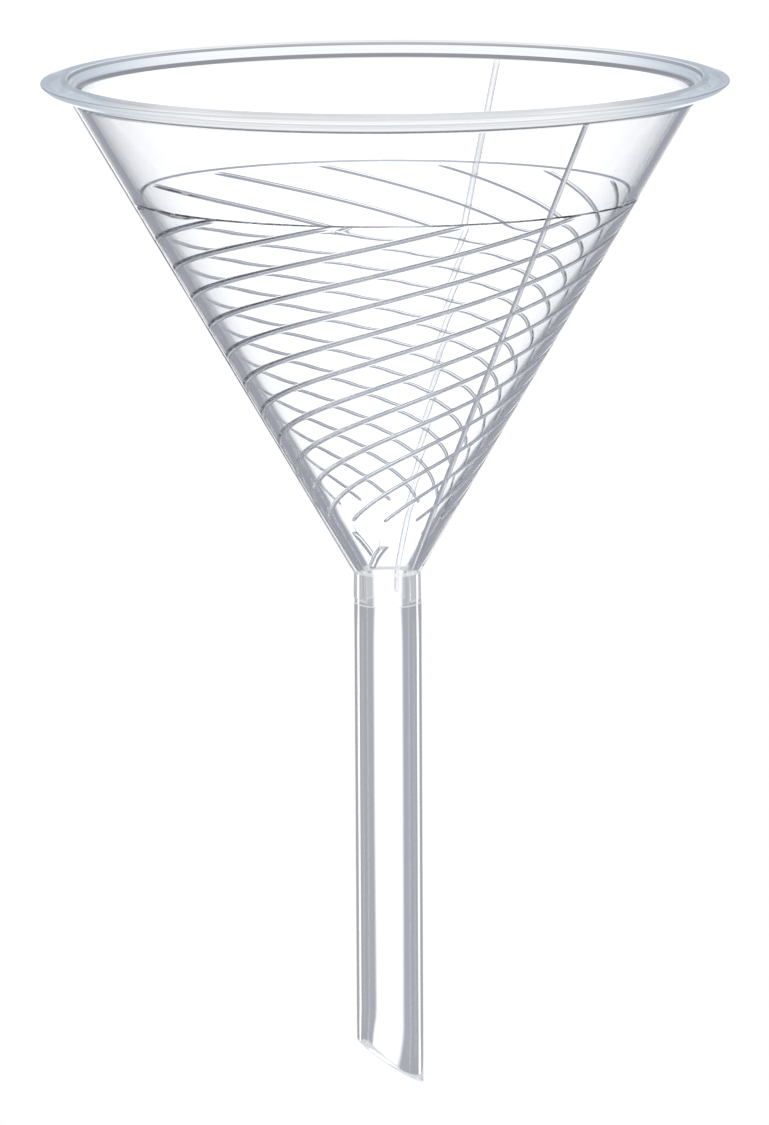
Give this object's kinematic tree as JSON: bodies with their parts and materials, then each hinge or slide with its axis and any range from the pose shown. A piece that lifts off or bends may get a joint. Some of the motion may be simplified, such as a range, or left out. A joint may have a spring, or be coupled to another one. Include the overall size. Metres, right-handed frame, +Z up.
{
  "type": "glass funnel",
  "caption": "Clear fluted 60 degree laboratory funnel with a beaded rim, spiral flutes inside, straight vent ribs outside and a long stem with a bevelled tip.",
  "frame": {"origin": "on the funnel's axis, level with the lowest point of the bevelled tip", "axes": "+Z up along the axis, from the tip to the rim; +X towards the long side of the bevelled tip; -Y is the front"},
  "size_m": [0.1, 0.1, 0.152],
  "materials": {
    "clear_glass": "clear, fire-polished gloss, faint blue-grey tint where it is thick"
  },
  "bodies": {
    "root": {"rim_bead": "clear_glass", "cone_shell": "clear_glass", "spiral_flutes": "clear_glass", "throat_guides": "clear_glass", "vent_ribs": "clear_glass", "neck_collar": "clear_glass", "stem_tube": "clear_glass"}
  },
  "joints": []
}
